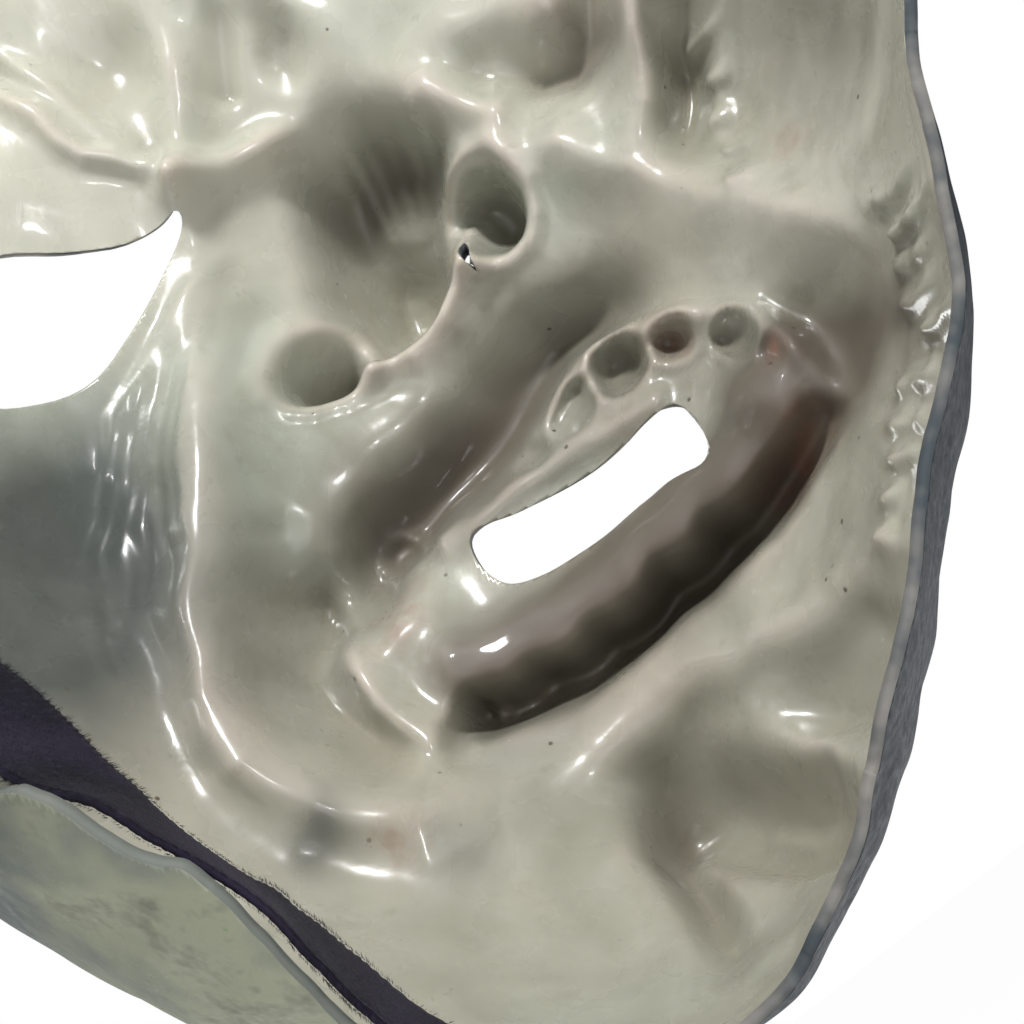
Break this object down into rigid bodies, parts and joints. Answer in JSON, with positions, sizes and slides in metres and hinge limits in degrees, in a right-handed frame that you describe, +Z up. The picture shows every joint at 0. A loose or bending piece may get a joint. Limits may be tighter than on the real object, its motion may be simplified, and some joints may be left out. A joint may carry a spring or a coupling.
{
  "type": "latex halloween mask",
  "caption": "Moulded latex ghoul mask with open eyes and mouth, an inward-curled jaw edge, and a riveted webbing head strap with a hook patch and a ring tab.",
  "frame": {"origin": "middle of the opening for the head, on the eye line: the point that the wearer's head holds", "axes": "+Z up as worn, -Y the way the face looks, +X towards the wearer's left; the opening for the head faces +Y"},
  "size_m": [0.1732, 0.1576, 0.3372],
  "materials": {
    "latex": "glossy moulded latex, grey-green inside, dry-brushed slate blue and green outside",
    "patch_cloth": "cotton cloth glued with latex",
    "webbing": "woven loop pile, matt",
    "hook_patch": "moulded nylon hooks",
    "thread": "polyester thread",
    "brass": "satin, lightly tarnished",
    "steel": "nickel-plated, satin",
    "nylon": "natural nylon"
  },
  "bodies": {
    "root": {"latex_shell": "latex", "left_patch": "patch_cloth", "right_patch": "patch_cloth", "left_outer_washer": "steel", "right_outer_washer": "steel", "left_rivet": "brass", "right_rivet": "brass", "left_rivet_cap": "brass", "right_rivet_cap": "brass", "left_spacer": "nylon", "right_spacer": "nylon", "left_inner_washer": "steel", "right_inner_washer": "steel"},
    "strap": {"head_strap": "webbing", "strap_eyelet": "brass", "strap_hook_patch": "hook_patch", "strap_stitching": "thread"},
    "tab": {"ring_tab": "webbing", "tab_eyelet": "brass", "tab_stitching": "thread"},
    "ring": {"strap_ring": "steel"}
  },
  "joints": [
    {"name": "strap_swing", "type": "hinge", "parent": "root", "child": "strap", "pos_m": [0.0777, 0.004, 0.008], "axis": [1, 0, 0], "range_deg": [0, 100]},
    {"name": "tab_swing", "type": "hinge", "parent": "root", "child": "tab", "pos_m": [-0.0777, 0.004, 0.008], "axis": [1, 0, 0], "range_deg": [0, 100]},
    {"name": "ring_swing", "type": "hinge", "parent": "tab", "child": "ring", "pos_m": [-0.0771, 0.004, -0.022], "axis": [0, -1, 0], "range_deg": [0, 110]}
  ]
}
